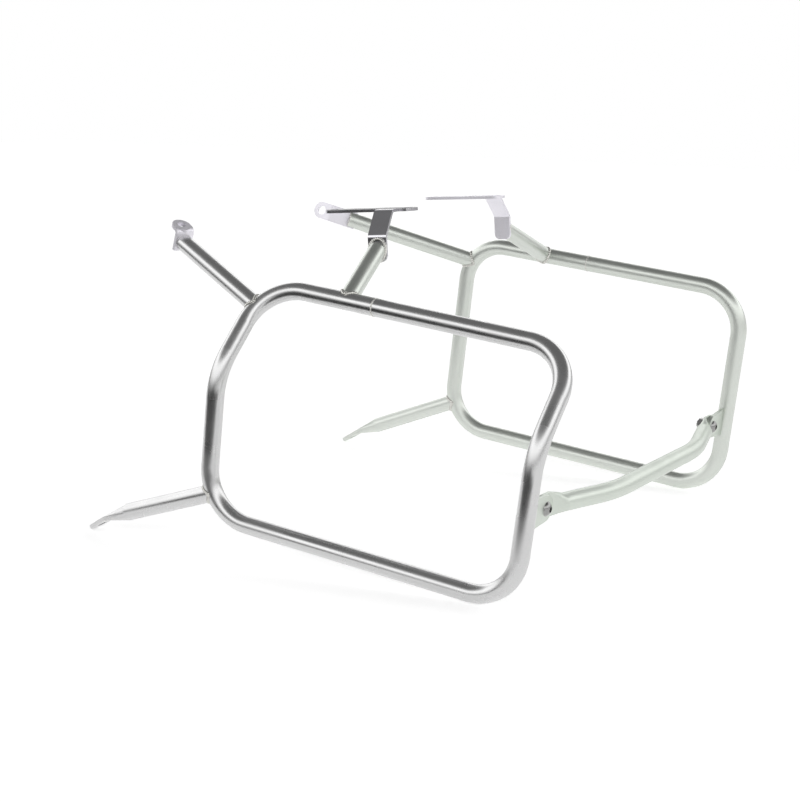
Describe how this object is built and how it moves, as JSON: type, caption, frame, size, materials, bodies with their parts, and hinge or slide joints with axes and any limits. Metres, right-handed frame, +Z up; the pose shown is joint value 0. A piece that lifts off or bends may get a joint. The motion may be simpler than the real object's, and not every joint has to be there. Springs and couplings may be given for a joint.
{
  "type": "motorbike pannier frame",
  "caption": "Pair of bent tube loops for motorbike panniers, with welded stays, eyelets and brackets, joined low at the back by a bolted cross bar.",
  "frame": {"origin": "on the floor, at the middle of the frame's length and width", "axes": "+X to the back of the motorbike, +Y to its right side, +Z up"},
  "size_m": [0.5432, 0.5252, 0.3413],
  "materials": {
    "tube": "satin stainless steel tube, finely brushed along its length",
    "sheet": "satin stainless steel sheet",
    "bar": "satin stainless steel tube with squeezed ends",
    "fastener": "plain stainless steel"
  },
  "bodies": {
    "root": {"left_loop": "tube", "right_loop": "tube", "left_lower_stay": "tube", "right_lower_stay": "tube", "left_upper_stay": "tube", "right_upper_stay": "tube", "left_eyelet": "sheet", "right_eyelet": "sheet", "left_rear_stay": "tube", "right_rear_stay": "tube", "left_bracket": "sheet", "right_bracket": "sheet", "left_lug": "sheet", "right_lug": "sheet", "cross_bar": "bar", "left_bolt": "fastener", "right_bolt": "fastener", "left_washer": "fastener", "right_washer": "fastener", "left_nut": "fastener", "right_nut": "fastener"}
  },
  "joints": []
}
